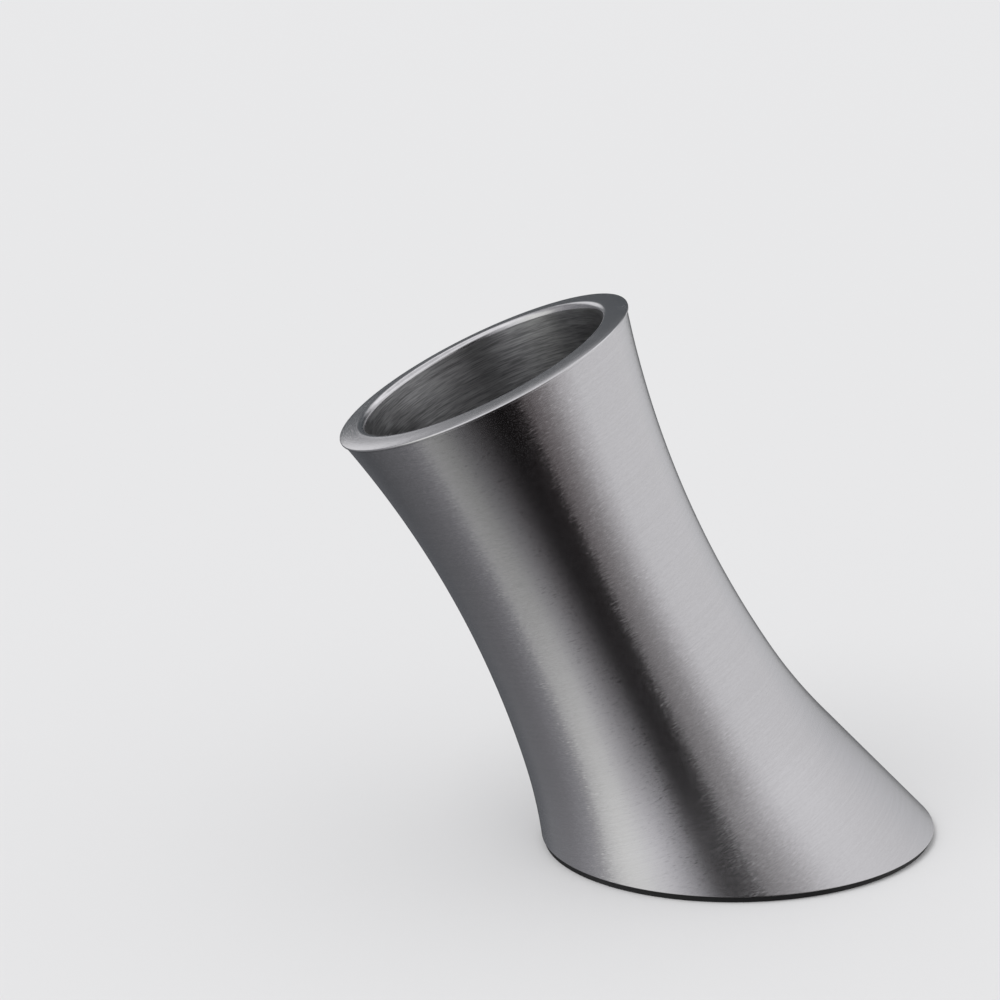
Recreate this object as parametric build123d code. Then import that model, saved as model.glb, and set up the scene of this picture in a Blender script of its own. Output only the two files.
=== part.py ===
"""Leaning double-walled bottle cooler in brushed stainless steel.

A waisted steel body stands on an oval foot and leans towards -X. A pressed rim ring joins its top
edge to a drawn inner cup, which holds the bottle. The foot is closed by a plate with an iron
weight bolted on it at the heel, so that a full bottle can't tip the cooler over, and a non-slip
pad is stuck under the plate.

Every round piece is drawn upright about the Z axis, with the surface that the cooler stands on at
Z = 0, and then leaned. The foot and what stands in it are cut level.
Frame: +Z up, the body leans towards -X, Y = 0 is the plane of symmetry, and the origin is the
middle of the foot, on the surface that it stands on. Millimetres and degrees.
"""

import os
from math import asin, cos, degrees, radians, sin, sqrt, tan

from build123d import *

# ---- driving dimensions: inner cup ----
BOTTLE_DIAMETER = 89.0  # the fattest bottle that the cup takes
BOTTLE_CLEARANCE = 1.5  # all round it
MOUTH_FLARE = 8.0  # from the cup's straight wall out to the mouth's edge
LINER_THICKNESS = 0.7
LINER_CORNER = 10.0  # inside radius between wall and floor
UNDER_LINER = 61.0  # along the axis, from the surface below to the cup's underside

# ---- driving dimensions: rim ring ----
RIM_WIDTH = 11.0  # mouth to outer edge, across the top
RIM_RISE = 1.5  # the mouth's edge above the outer edge
RIM_OVERHANG = 0.6  # outer edge proud of the shell
RIM_THICKNESS = 1.2
RIM_EDGE_ROUND = 0.5  # both corners of the outer edge
RIM_BEND = 1.8  # outside radius where the top turns down into the mouth
RIM_FLANGE = 4.0  # depth of the turned-down inner edge, below the outer edge

# ---- driving dimensions: body ----
LEAN = 23.8  # from the vertical to the body's axis
AXIS_LENGTH = 226.0  # along the axis, from the surface below to the rim's outer edge
SHELL_THICKNESS = 0.8
WALL_GAP = 5.1  # between shell and cup at the waist, where they come closest
WAIST_BELOW_RIM = 99.0  # along the axis
FLARE_BELOW_WAIST = 63.0  # where the waist's long arc turns into the tighter flare
FLARE_RADIUS = 217.0
HEEL_ANGLE = 18.6  # from the axis to the straight run at the bottom of the flare

# ---- driving dimensions: foot ----
PAD_THICKNESS = 2.4
PAD_INSET = 1.0  # the pad's edge inside the shell's
PAD_EDGE_ROUND = 0.5
ADHESIVE_THICKNESS = 0.3
PLATE_THICKNESS = 1.2

# ---- driving dimensions: weight and its fixings ----
WEIGHT_HEIGHT = 22.0
WEIGHT_FRONT = 4.0  # from the middle of the foot back to the weight's flat front face
WEIGHT_SIDE_GAP = 4.0  # clear of the shell all round
WEIGHT_LINER_GAP = 3.0  # clear of the cup
WEIGHT_EDGE_CHAMFER = 1.5  # round the top
STUD_DIAMETER = 6.0
STUD_SPACING = 56.0
STUD_BEHIND_FRONT = 18.0  # from the weight's front face back to the studs
STUD_PROUD = 2.5  # above the nut
STUD_FLANGE_DIAMETER = 7.5
STUD_FLANGE_HEIGHT = 0.8
STUD_HOLE_CLEARANCE = 0.5  # round the stud's flange, in the weight
WASHER_DIAMETER = 18.0
WASHER_THICKNESS = 1.6
WASHER_CLEARANCE = 0.2  # round the stud
SPRING_WASHER_WIDTH = 2.7
SPRING_WASHER_THICKNESS = 1.6
SPRING_WASHER_SLOT = 1.2
NUT_ACROSS_FLATS = 10.0
NUT_HEIGHT = 5.0

# ---- driving dimensions: vent plug ----
VENT_DIAMETER = 6.0
VENT_AHEAD = 36.0  # from the middle of the foot forward to the vent
PLUG_BULB_DIAMETER = 7.8
PLUG_BULB_HEIGHT = 1.6

# ---- worked out from the dimensions above ----
EDGE_HEIGHT = PAD_THICKNESS + ADHESIVE_THICKNESS  # the shell's bottom edge
PLATE_TOP = EDGE_HEIGHT + PLATE_THICKNESS
WAIST_Z = AXIS_LENGTH - WAIST_BELOW_RIM
LINER_R = BOTTLE_DIAMETER / 2 + BOTTLE_CLEARANCE
WAIST_R = LINER_R + LINER_THICKNESS + WALL_GAP + SHELL_THICKNESS
MOUTH_R = LINER_R + MOUTH_FLARE
RIM_R = MOUTH_R + RIM_WIDTH
BODY_TOP_R = RIM_R - RIM_OVERHANG


def arc_radius(swing, run):
    """Radius of an arc that starts along the axis and moves out by swing over a run."""
    return (swing**2 + run**2) / (2 * swing)


WAIST_ARC = arc_radius(BODY_TOP_R - WAIST_R, WAIST_BELOW_RIM)
LINER_ARC = arc_radius(MOUTH_R - LINER_R, WAIST_BELOW_RIM + RIM_RISE)
WAIST_CENTRE = Vector(WAIST_R + WAIST_ARC, WAIST_Z)
LINER_CENTRE = Vector(LINER_R + LINER_ARC, WAIST_Z)


def on_circle(centre, radius, angle):
    """Point on a circle, on its side nearest the axis; the angle is degrees below level."""
    return centre - Vector(cos(radians(angle)), sin(radians(angle))) * radius


def at_height(centre, radius, height):
    """Angle for on_circle of the point at a height."""
    return degrees(asin((centre.Y - height) / radius))


def line_to_circle(start, direction, centre, radius):
    """The point where a line that starts inside a circle leaves it."""
    to_start = start - centre
    along = to_start.dot(direction)
    return start + direction * (sqrt(along**2 - to_start.dot(to_start) + radius**2) - along)


def arc(centre, radius, first, last):
    """Arc between two angles, as on_circle counts them."""
    points = [on_circle(centre, radius, a) for a in (first, (first + last) / 2, last)]
    return ThreePointArc(*points)


def turned(edges):
    """Solid of revolution about Z, from closed edges drawn with X as radius and Y as height."""
    profile = make_face(Curve() + edges)
    return revolve(Plane.XZ * profile, Axis.Z)


def leaned(solid):
    """An upright solid leaned towards -X about the point where its axis meets the surface below."""
    return solid.rotate(Axis.Y, -LEAN)


# ---- the rim ring's section, which the shell and the cup meet ----
RIM_OUTER = Vector(RIM_R, AXIS_LENGTH)
RIM_INNER = Vector(MOUTH_R, AXIS_LENGTH + RIM_RISE)
RIM_INWARD = (RIM_INNER - RIM_OUTER).normalized()
RIM_DOWNWARD = Vector(RIM_INWARD.Y, -RIM_INWARD.X) * -1
UNDER_RIM = RIM_OUTER + RIM_DOWNWARD * RIM_THICKNESS
FLANGE_END = AXIS_LENGTH - RIM_FLANGE


def under_rim(centre, radius):
    """Point on a circle where it meets the underside of the rim ring."""
    return line_to_circle(UNDER_RIM, RIM_INWARD, centre, radius)


def make_rim_ring():
    """Sheet ring that rises to the mouth and turns down into it, with a rounded outer edge."""
    back = LINER_ARC - RIM_THICKNESS
    bend = under_rim(LINER_CENTRE, back)
    foot_in = at_height(LINER_CENTRE, LINER_ARC, FLANGE_END)
    foot_out = at_height(LINER_CENTRE, back, FLANGE_END)
    top_in = at_height(LINER_CENTRE, LINER_ARC, RIM_INNER.Y)
    bend_at = at_height(LINER_CENTRE, back, bend.Y)
    edges = [
        Line(RIM_OUTER, RIM_INNER),
        arc(LINER_CENTRE, LINER_ARC, top_in, foot_in),
        Line(on_circle(LINER_CENTRE, LINER_ARC, foot_in), on_circle(LINER_CENTRE, back, foot_out)),
        arc(LINER_CENTRE, back, foot_out, bend_at),
        Line(bend, UNDER_RIM),
        Line(UNDER_RIM, RIM_OUTER),
    ]
    section = make_face(Curve() + edges)

    def corner(point):
        return section.vertices().sort_by_distance(point)[0]

    rounds = [(RIM_INNER, RIM_BEND), (bend, RIM_BEND - RIM_THICKNESS)]
    rounds += [(RIM_OUTER, RIM_EDGE_ROUND), (UNDER_RIM, RIM_EDGE_ROUND)]
    for point, radius in rounds:
        section = fillet(corner(point), radius)
    return leaned(revolve(Plane.XZ * section, Axis.Z))


# ---- shell and what it encloses ----
def body_volume(inset):
    """The space inside the body's surface moved inwards, from the rim to well below the floor."""
    waist_arc = WAIST_ARC + inset
    flare_from = degrees(asin(FLARE_BELOW_WAIST / WAIST_ARC))
    flare_centre = on_circle(WAIST_CENTRE, WAIST_ARC - FLARE_RADIUS, flare_from)
    top = under_rim(WAIST_CENTRE, waist_arc)
    top_at = at_height(WAIST_CENTRE, waist_arc, top.Y)
    heel = on_circle(flare_centre, FLARE_RADIUS + inset, HEEL_ANGLE)
    run = Vector(sin(radians(HEEL_ANGLE)), -cos(radians(HEEL_ANGLE))) * AXIS_LENGTH
    top_middle = top + RIM_INWARD * (top.X / -RIM_INWARD.X)
    edges = [
        Line(top_middle, top),
        arc(WAIST_CENTRE, waist_arc, top_at, flare_from),
        arc(flare_centre, FLARE_RADIUS + inset, flare_from, HEEL_ANGLE),
        Line(heel, heel + run),
        Line(heel + run, Vector(0, (heel + run).Y)),
        Line(Vector(0, (heel + run).Y), top_middle),
    ]
    return leaned(turned(edges))


def between(solid, low, high=None):
    """The slice of a solid between two heights, or all of it above one."""
    kept = split(solid, bisect_by=Plane.XY.offset(low), keep=Keep.TOP)
    if high is None:
        return kept
    return split(kept, bisect_by=Plane.XY.offset(high), keep=Keep.BOTTOM)


def flat_faces(solid):
    """The flat faces of a solid, lowest first."""
    return solid.faces().filter_by(GeomType.PLANE).sort_by(Axis.Z)


def liner_cup(grow=0.0, inside=True):
    """The drawn cup, or with inside=False the space it fills, larger by grow on every side."""
    outer_arc = LINER_ARC - LINER_THICKNESS - grow
    outer_r = LINER_R + LINER_THICKNESS + grow
    outer_corner = LINER_CORNER + LINER_THICKNESS + grow
    floor = UNDER_LINER - grow
    rim_in = at_height(LINER_CENTRE, LINER_ARC, FLANGE_END)
    rim_out = at_height(LINER_CENTRE, outer_arc, FLANGE_END)

    def wall(arc_r, wall_r, corner_r, floor_z, top_at):
        """One face of the cup, from the middle of its floor up to its top edge."""
        lie = Vector(wall_r - corner_r, floor_z)
        rise = Vector(wall_r, floor_z + corner_r)
        bend = lie + Vector(sin(radians(45)), 1 - cos(radians(45))) * corner_r
        return [
            Line(Vector(0, floor_z), lie),
            ThreePointArc(lie, bend, rise),
            Line(rise, Vector(wall_r, WAIST_Z)),
            arc(LINER_CENTRE, arc_r, 0, top_at),
        ]

    outer = wall(outer_arc, outer_r, outer_corner, floor, rim_out)
    top_out = on_circle(LINER_CENTRE, outer_arc, rim_out)
    if not inside:
        lid = Vector(0, FLANGE_END)
        return leaned(turned(outer + [Line(top_out, lid), Line(lid, Vector(0, floor))]))
    floor_in = floor + LINER_THICKNESS
    inner = wall(LINER_ARC, LINER_R, LINER_CORNER, floor_in, rim_in)
    top_in = on_circle(LINER_CENTRE, LINER_ARC, rim_in)
    ends = [Line(top_out, top_in), Line(Vector(0, floor_in), Vector(0, floor))]
    return leaned(turned(outer + inner + ends))


outer_volume = body_volume(0.0)
inner_volume = body_volume(SHELL_THICKNESS)


def foot_outline(inset):
    """Level face across the foot at the shell's bottom edge, inside the body's surface by inset."""
    return flat_faces(between(body_volume(inset), EDGE_HEIGHT))[0]


FOOT_X = foot_outline(0).bounding_box().center().X  # middle of the foot, from the leaning axis


# ---- foot ----
def make_base_plate():
    """Plate welded inside the shell's bottom edge, with the vent hole."""
    plate = between(inner_volume, EDGE_HEIGHT, PLATE_TOP)
    return plate - upright_cylinder(VENT_DIAMETER, EDGE_HEIGHT, PLATE_THICKNESS, VENT_AT)


def foot_sheet(low, thickness):
    """Flat sheet cut to the foot's outline, a little inside the shell's edge."""
    outline = foot_outline(PAD_INSET).moved(Pos(0, 0, low - EDGE_HEIGHT))
    return extrude(outline, thickness, dir=(0, 0, 1))


def make_foot_pad():
    """Non-slip pad with its lower edge rounded."""
    pad = foot_sheet(0, PAD_THICKNESS)
    return fillet(flat_faces(pad)[0].edges(), PAD_EDGE_ROUND)


def upright_cylinder(diameter, base, height, at):
    """Vertical cylinder standing on a height at a place (x, y)."""
    place = Pos(at[0], at[1], base)
    return place * Cylinder(diameter / 2, height, align=(Align.CENTER, Align.CENTER, Align.MIN))


VENT_AT = (FOOT_X - VENT_AHEAD, 0)


def make_vent_plug():
    """Push-in plug that fills the vent hole flush, with a bulb behind the plate."""
    shank = upright_cylinder(VENT_DIAMETER, EDGE_HEIGHT, PLATE_THICKNESS, VENT_AT)
    bulb = upright_cylinder(PLUG_BULB_DIAMETER, PLATE_TOP, PLUG_BULB_HEIGHT, VENT_AT)
    return shank + chamfer(bulb.edges().sort_by(Axis.Z)[-1], PLUG_BULB_HEIGHT / 2)


# ---- weight and its fixings ----
WEIGHT_FRONT_X = FOOT_X + WEIGHT_FRONT
WEIGHT_TOP = PLATE_TOP + WEIGHT_HEIGHT
STUDS_AT = [(WEIGHT_FRONT_X + STUD_BEHIND_FRONT, side * STUD_SPACING / 2) for side in (-1, 1)]
WASHER_TOP = WEIGHT_TOP + WASHER_THICKNESS
NUT_BASE = WASHER_TOP + SPRING_WASHER_THICKNESS
STUD_TOP = NUT_BASE + NUT_HEIGHT + STUD_PROUD


def make_weight():
    """Cast weight that follows the inside of the heel, with a flat front and two stud holes."""
    block = between(body_volume(SHELL_THICKNESS + WEIGHT_SIDE_GAP), PLATE_TOP, WEIGHT_TOP)
    front = Plane.YZ.offset(WEIGHT_FRONT_X)
    block = split(block, bisect_by=front, keep=Keep.TOP)
    block = chamfer(flat_faces(block)[-1].edges(), WEIGHT_EDGE_CHAMFER)
    hole = STUD_FLANGE_DIAMETER + 2 * STUD_HOLE_CLEARANCE
    for at in STUDS_AT:
        block -= upright_cylinder(hole, PLATE_TOP, WEIGHT_HEIGHT, at)
    return block - liner_cup(WEIGHT_LINER_GAP, inside=False)


def make_stud(at):
    """Threaded stud with a small welding flange, standing on the plate."""
    flange = upright_cylinder(STUD_FLANGE_DIAMETER, PLATE_TOP, STUD_FLANGE_HEIGHT, at)
    shank = upright_cylinder(STUD_DIAMETER, PLATE_TOP, STUD_TOP - PLATE_TOP, at)
    return flange + shank


def make_washer(at):
    """Plain washer that spans the weight's hole."""
    disc = upright_cylinder(WASHER_DIAMETER, WEIGHT_TOP, WASHER_THICKNESS, at)
    bore = STUD_DIAMETER + 2 * WASHER_CLEARANCE
    return disc - upright_cylinder(bore, WEIGHT_TOP, WASHER_THICKNESS, at)


def make_spring_washer(at):
    """Spring washer pressed flat, with its slot."""
    bore = STUD_DIAMETER + 2 * WASHER_CLEARANCE
    outside = bore + 2 * SPRING_WASHER_WIDTH
    ring = upright_cylinder(outside, WASHER_TOP, SPRING_WASHER_THICKNESS, at)
    ring -= upright_cylinder(bore, WASHER_TOP, SPRING_WASHER_THICKNESS, at)
    slot = Box(outside, SPRING_WASHER_SLOT, SPRING_WASHER_THICKNESS, align=(Align.MIN, Align.CENTER, Align.MIN))
    return ring - Pos(at[0], at[1], WASHER_TOP) * slot


def make_nut(at):
    """Hexagon nut, bored to the stud it is screwed on."""
    hexagon = RegularPolygon(NUT_ACROSS_FLATS / 2, 6, major_radius=False)
    nut = extrude(Pos(at[0], at[1], NUT_BASE) * hexagon, NUT_HEIGHT)
    return nut - upright_cylinder(STUD_DIAMETER, NUT_BASE, NUT_HEIGHT, at)


def both(maker):
    """One piece at each stud, kept as separate solids in one node."""
    return Compound(children=[piece for at in STUDS_AT for piece in maker(at).solids()])


NODES = {
    "outer_shell": between(outer_volume, EDGE_HEIGHT) - between(inner_volume, EDGE_HEIGHT),
    "rim_ring": make_rim_ring(),
    "inner_liner": liner_cup(),
    "base_plate": make_base_plate(),
    "pad_adhesive": foot_sheet(PAD_THICKNESS, ADHESIVE_THICKNESS),
    "foot_pad": make_foot_pad(),
    "ballast_weight": make_weight(),
    "ballast_studs": both(make_stud),
    "ballast_washers": both(make_washer),
    "spring_washers": both(make_spring_washer),
    "ballast_nuts": both(make_nut),
    "vent_plug": make_vent_plug(),
}

os.makedirs("parts", exist_ok=True)
for name, shape in NODES.items():
    export_step(shape.moved(Pos(-FOOT_X, 0, 0)), f"parts/{name}.step")
    box = shape.moved(Pos(-FOOT_X, 0, 0)).bounding_box()
    print(f"{name}: {len(shape.solids())} solids, {shape.volume / 1000:.2f} cm3, {box.min} to {box.max}")
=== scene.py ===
# %% [markdown]
# # A leaning bottle cooler in brushed stainless steel
# The cooler is a waisted steel body that leans to one side, with a broad rim round its mouth, a
# deep cup for the bottle and an oval foot on a black rubber pad. The engineering model already
# holds every piece at its true size. This lesson rebuilds the pieces that show as clean lathe
# meshes, gives every piece its finish, and sets up a small studio round it.
#
# First the imported model is loaded. It is the fixed frame that every mesh below is fitted to.

# %% Load the frame
from math import asin, atan2, cos, degrees, hypot, pi, radians, sin, sqrt, tan

import bmesh
import bpy
import numpy as np
from mathutils import Matrix, Vector
from mathutils.bvhtree import BVHTree


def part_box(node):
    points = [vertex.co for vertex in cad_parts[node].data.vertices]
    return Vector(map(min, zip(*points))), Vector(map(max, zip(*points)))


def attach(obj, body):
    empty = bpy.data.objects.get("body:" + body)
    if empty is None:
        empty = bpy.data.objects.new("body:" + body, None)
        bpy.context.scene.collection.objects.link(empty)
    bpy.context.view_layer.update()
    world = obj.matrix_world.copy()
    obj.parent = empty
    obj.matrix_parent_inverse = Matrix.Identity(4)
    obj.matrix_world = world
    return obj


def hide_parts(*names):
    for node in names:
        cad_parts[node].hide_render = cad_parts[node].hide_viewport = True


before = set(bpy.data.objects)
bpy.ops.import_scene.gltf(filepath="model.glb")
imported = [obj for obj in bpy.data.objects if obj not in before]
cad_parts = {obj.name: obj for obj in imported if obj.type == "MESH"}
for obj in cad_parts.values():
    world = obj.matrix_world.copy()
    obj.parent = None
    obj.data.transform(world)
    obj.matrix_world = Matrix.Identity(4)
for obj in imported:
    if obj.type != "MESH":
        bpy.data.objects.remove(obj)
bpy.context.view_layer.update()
MM = 0.001
print("nodes:", ", ".join(sorted(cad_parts)))

# %% [markdown]
# ## The leaning axis
# Body, rim and cup are all bodies of revolution about one axis, so finding that axis is the key
# to everything else. The turned-down inner edge of the rim ends in a plane circle. The points of
# a circle spread in two directions and not in the third, and that third direction is its axis:
# a singular value decomposition hands it over. A first, rough axis picks out the circle, and the
# circle's own points then give the exact one.


# %% Find the axis
def points_of(node):
    """A CAD node's vertices as an array of rows x, y, z in metres."""
    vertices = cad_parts[node].data.vertices
    flat = np.empty(len(vertices) * 3)
    vertices.foreach_get("co", flat)
    return flat.reshape(-1, 3)


def least_spread(points):
    """Unit vector along which the points differ least, turned to point upwards."""
    direction = np.linalg.svd(points - points.mean(axis=0), full_matrices=False)[2][2]
    return direction if direction[2] > 0 else -direction


CIRCLE_BAND = 0.3 * MM
ring_points = points_of("rim_ring")
along_rough_axis = ring_points @ least_spread(ring_points)
flange_circle = ring_points[along_rough_axis < along_rough_axis.min() + CIRCLE_BAND]
UP = least_spread(flange_circle)
UPHILL = np.cross([0.0, 1.0, 0.0], UP)
LEAN = atan2(-UP[0], UP[2])
across = flange_circle @ UPHILL
circle_middle = UPHILL * (across.max() + across.min()) / 2 + UP * (flange_circle @ UP).mean()
AXIS_FOOT = circle_middle - UP * circle_middle[2] / UP[2]
print(f"lean {degrees(LEAN):.2f} degrees; axis meets the floor at x = {AXIS_FOOT[0] / MM:.2f} mm")

# %% [markdown]
# ## The sizes
# These are the few sizes that the sections below are drawn from, in millimetres. "Level" means a
# distance along the leaning axis, measured from the floor, and a radius is measured from that
# axis. The body's side is a long arc round the waist, a tighter arc where it flares, and a short
# straight run at the heel.

# %% Sizes in millimetres
RIM_LEVEL = 226.0
RIM_WIDTH = 11.0
RIM_RISE = 1.5
RIM_OVERHANG = 0.6
RIM_THICKNESS = 1.2
RIM_FLANGE = 4.0
MOUTH_R = 54.0
RIM_R = MOUTH_R + RIM_WIDTH
CUP_R = 46.0
CUP_SHEET = 0.7
CUP_CORNER = 10.0
UNDER_CUP = 61.0
SHELL_SHEET = 0.8
WAIST_R = 52.6
WAIST_LEVEL = RIM_LEVEL - 99.0
FLARE_BELOW_WAIST = 63.0
FLARE_ARC = 217.0
HEEL_SLOPE = radians(18.6)
EDGE_HEIGHT = 2.7
PAD_HEIGHT = 2.4
PAD_INSET = 1.0


def arc_radius(swing, run):
    """Radius of an arc that starts along the axis and moves out by swing over a run."""
    return (swing**2 + run**2) / (2 * swing)


WAIST_ARC = arc_radius(RIM_R - RIM_OVERHANG - WAIST_R, RIM_LEVEL - WAIST_LEVEL)
CUP_ARC = arc_radius(MOUTH_R - CUP_R, RIM_LEVEL + RIM_RISE - WAIST_LEVEL)
print(f"waist arc {WAIST_ARC:.1f} mm, cup arc {CUP_ARC:.1f} mm")

# %% [markdown]
# ## A lathe
# Blender's Screw modifier turns a curve round an axis, but the foot of this body is cut level
# while its axis leans, and the modifier can't do that. A grid of points does it with little more
# work: each row of the grid goes once round the axis, and the rows run down the section. Every
# row has the same number of columns, so the mesh is all quads, and a UV map comes for free, with
# U round the piece and V down its section. The brushed finish uses that map to know which way the
# polishing belt ran. Its seam is at the back.

# %% Points round the axis
COLUMNS = 288
WELD = 1e-7
ROUND_MAP = "OFBake"
TURN = pi / 2 + np.arange(COLUMNS) * 2 * pi / COLUMNS
OUTWARD = np.outer(np.cos(TURN), UPHILL) + np.outer(np.sin(TURN), [0.0, 1.0, 0.0])


def row_at(radius, level):
    """One row of points round the axis. Radius and level are numbers, or one for each column."""
    radius, level = np.broadcast_to(radius, COLUMNS), np.broadcast_to(level, COLUMNS)
    return AXIS_FOOT + (radius[:, None] * OUTWARD + np.outer(level, UP)) * MM


def lathe(name, rows, closed=False):
    """A smooth mesh object through rows of points. Closed joins the last row to the first."""
    rows = np.array(rows)
    count = len(rows)
    last = count if closed else count - 1
    faces, corners = [], []
    for i in range(last):
        for j in range(COLUMNS):
            right, below = (j + 1) % COLUMNS, (i + 1) % count
            faces.append((i * COLUMNS + j, below * COLUMNS + j,
                          below * COLUMNS + right, i * COLUMNS + right))
            corners += [(j, i), (j, i + 1), (j + 1, i + 1), (j + 1, i)]
    mesh = bpy.data.meshes.new(name)
    mesh.from_pydata(rows.reshape(-1, 3).tolist(), [], faces)
    flat = np.array(corners, float) / (COLUMNS, -last) + (0, 1)
    mesh.uv_layers.new(name=ROUND_MAP).data.foreach_set("uv", flat.ravel())
    welded = bmesh.new()
    welded.from_mesh(mesh)
    bmesh.ops.remove_doubles(welded, verts=welded.verts, dist=WELD)
    welded.to_mesh(mesh)
    welded.free()
    mesh.shade_smooth()
    piece = bpy.data.objects.new(name, mesh)
    bpy.context.scene.collection.objects.link(piece)
    print(f"{name}: {len(mesh.vertices)} points, {len(mesh.polygons)} faces")
    return piece


# %% [markdown]
# ## Sections with rounded corners
# No real sheet edge is perfectly sharp, and it is the small round on an edge that catches the
# light. A section can be given as a list of corners, each with its own radius. A round is drawn
# as a short arc, with one extra point a hair's breadth before and after it, so that smooth
# shading stays on the round and doesn't spread over the flat next to it. Those holding points
# are used on every piece.

# %% Corners to points
ROUND_STEPS = 6
HOLD = 0.12
LONGEST_STEP = 3.0


def rounded(corners):
    """Points along a section given as (radius from the axis, level, corner radius) corners."""
    points = []
    for i, (r, level, size) in enumerate(corners):
        here = np.array([r, level])
        before, after = corners[i - 1], corners[(i + 1) % len(corners)]
        if size == 0:
            points.append(here)
            continue
        back = np.array(before[:2]) - here
        on = np.array(after[:2]) - here
        back, on = back / np.linalg.norm(back), on / np.linalg.norm(on)
        half = np.arccos(np.clip(back @ on, -1, 1)) / 2
        reach = size / tan(half)
        middle = here + (back + on) / np.linalg.norm(back + on) * size / sin(half)
        start, end = here + back * reach - middle, here + on * reach - middle
        points.append(here + back * (reach + HOLD))
        swing = pi - 2 * half
        for step in np.linspace(0, 1, ROUND_STEPS + 1):
            swung = start * sin((1 - step) * swing) + end * sin(step * swing)
            points.append(middle + swung / np.linalg.norm(swung) * size)
        points.append(here + on * (reach + HOLD))
    return points


def filled(points, closed=False):
    """The same points with more between them, so that no step along the section is long."""
    ends = points[1:] + (points[:1] if closed else [])
    out = []
    for a, b in zip(points, ends):
        parts = max(1, int(np.ceil(np.linalg.norm(b - a) / LONGEST_STEP)))
        out += [a + (b - a) * k / parts for k in range(parts)]
    return out if closed else out + [points[-1]]


# %% [markdown]
# ## The rim ring
# The rim is one pressed ring of 1.2 mm sheet. Its top rises a little towards the mouth, its outer
# edge stands just proud of the body, and its inner edge turns down into the mouth in a soft bend.
# It covers the joint between body and cup, as the real one does, so it is made first. Polishing
# has left its flat top very slightly crowned: a cubic that is nought at both edges adds that, and
# 27/4 makes the cubic's highest point one.

# %% Rim ring
RIM_BEND = 2.4
RIM_CROWN = 0.25
CROWN_FROM, CROWN_TO, CROWN_ROWS = 0.3, 0.93, 10
RIM_EDGE_ROUND = 0.5
UNDER_BEND_ROUND = 0.6
FLANGE_BACK_ROUND, FLANGE_FACE_ROUND = 0.2, 0.02
rim_slope = hypot(RIM_WIDTH, RIM_RISE)
UNDER_RIM_R = RIM_R - RIM_THICKNESS * RIM_RISE / rim_slope
UNDER_RIM_LEVEL = RIM_LEVEL - RIM_THICKNESS * RIM_WIDTH / rim_slope


def cup_radius(level, outside=0.0):
    """Radius of the cup's inner face at a level above the waist, or of a face outside it."""
    return CUP_R + CUP_ARC - sqrt((CUP_ARC - outside)**2 - (level - WAIST_LEVEL)**2)


def make_rim():
    """The ring, from its outer edge over the top and down into the mouth, and back underneath."""
    flange_end = RIM_LEVEL - RIM_FLANGE
    bend_r = cup_radius(RIM_LEVEL, RIM_THICKNESS)
    bend_level = UNDER_RIM_LEVEL + (UNDER_RIM_R - bend_r) * RIM_RISE / RIM_WIDTH
    crown = [(MOUTH_R + RIM_WIDTH * t,
              RIM_LEVEL + RIM_RISE * (1 - t) + RIM_CROWN * 27 / 4 * t * t * (1 - t), 0)
             for t in np.linspace(CROWN_FROM, CROWN_TO, CROWN_ROWS)]
    corners = [
        (UNDER_RIM_R, UNDER_RIM_LEVEL, RIM_EDGE_ROUND),
        (bend_r, bend_level, UNDER_BEND_ROUND),
        (cup_radius(flange_end, RIM_THICKNESS), flange_end, FLANGE_BACK_ROUND),
        (cup_radius(flange_end), flange_end, FLANGE_FACE_ROUND),
        (MOUTH_R, RIM_LEVEL + RIM_RISE, RIM_BEND),
        *crown,
        (RIM_R, RIM_LEVEL, RIM_EDGE_ROUND),
    ]
    section = filled(rounded(corners), closed=True)
    return lathe("rim", [row_at(r, level) for r, level in section], closed=True)


rim = make_rim()

# %% [markdown]
# ## The shape of the body's side
# The side follows three formulas, one for each stretch, so a function of the level is all that it
# needs. The foot is cut level: in each column the side is followed down until it is 2.7 mm above
# the floor. Where that is depends on the radius there, and the radius on where it is, so the
# level is found by repeated substitution, which settles within a few rounds.

# %% Shape of the side
SETTLING_ROUNDS = 30


def side_radius(level, inset=0.0):
    """Radius of the body's side, or of the face inside it by inset, at levels along the axis."""
    level = np.asarray(level, float)
    waist, flare = WAIST_ARC + inset, FLARE_ARC + inset
    flare_from = asin(FLARE_BELOW_WAIST / WAIST_ARC)
    centre_r = WAIST_R + WAIST_ARC - (WAIST_ARC - FLARE_ARC) * cos(flare_from)
    centre_level = WAIST_LEVEL - (WAIST_ARC - FLARE_ARC) * sin(flare_from)
    on_waist = WAIST_R + WAIST_ARC - np.sqrt(waist**2 - (level - WAIST_LEVEL)**2)
    below = np.clip(centre_level - level, 0, flare * sin(HEEL_SLOPE))
    on_flare = centre_r - np.sqrt(flare**2 - below**2)
    straight_drop = np.maximum(centre_level - level - flare * sin(HEEL_SLOPE), 0)
    on_flare = on_flare + straight_drop * tan(HEEL_SLOPE)
    return np.where(level > WAIST_LEVEL - waist * sin(flare_from), on_waist, on_flare)


def level_at_height(height, inset=0.0):
    """For each column, the level at which the side is at a height above the floor."""
    level = np.zeros(COLUMNS)
    for _ in range(SETTLING_ROUNDS):
        level = (height - side_radius(level, inset) * OUTWARD[:, 2]) / UP[2]
    return level


toe, heel = level_at_height(EDGE_HEIGHT).max(), level_at_height(EDGE_HEIGHT).min()
print(f"the foot's cut runs from level {heel:.1f} mm at the heel to {toe:.1f} mm at the toe")

# %% [markdown]
# ## The body
# High on the body the rows are plain circles, and below the lowest full circle they turn by and
# by until the last one is level with the floor. The sheet's cut edge gets a small round, and the
# mesh goes back up the inside with fewer rows, so that the body is a real sheet with two faces.

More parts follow.
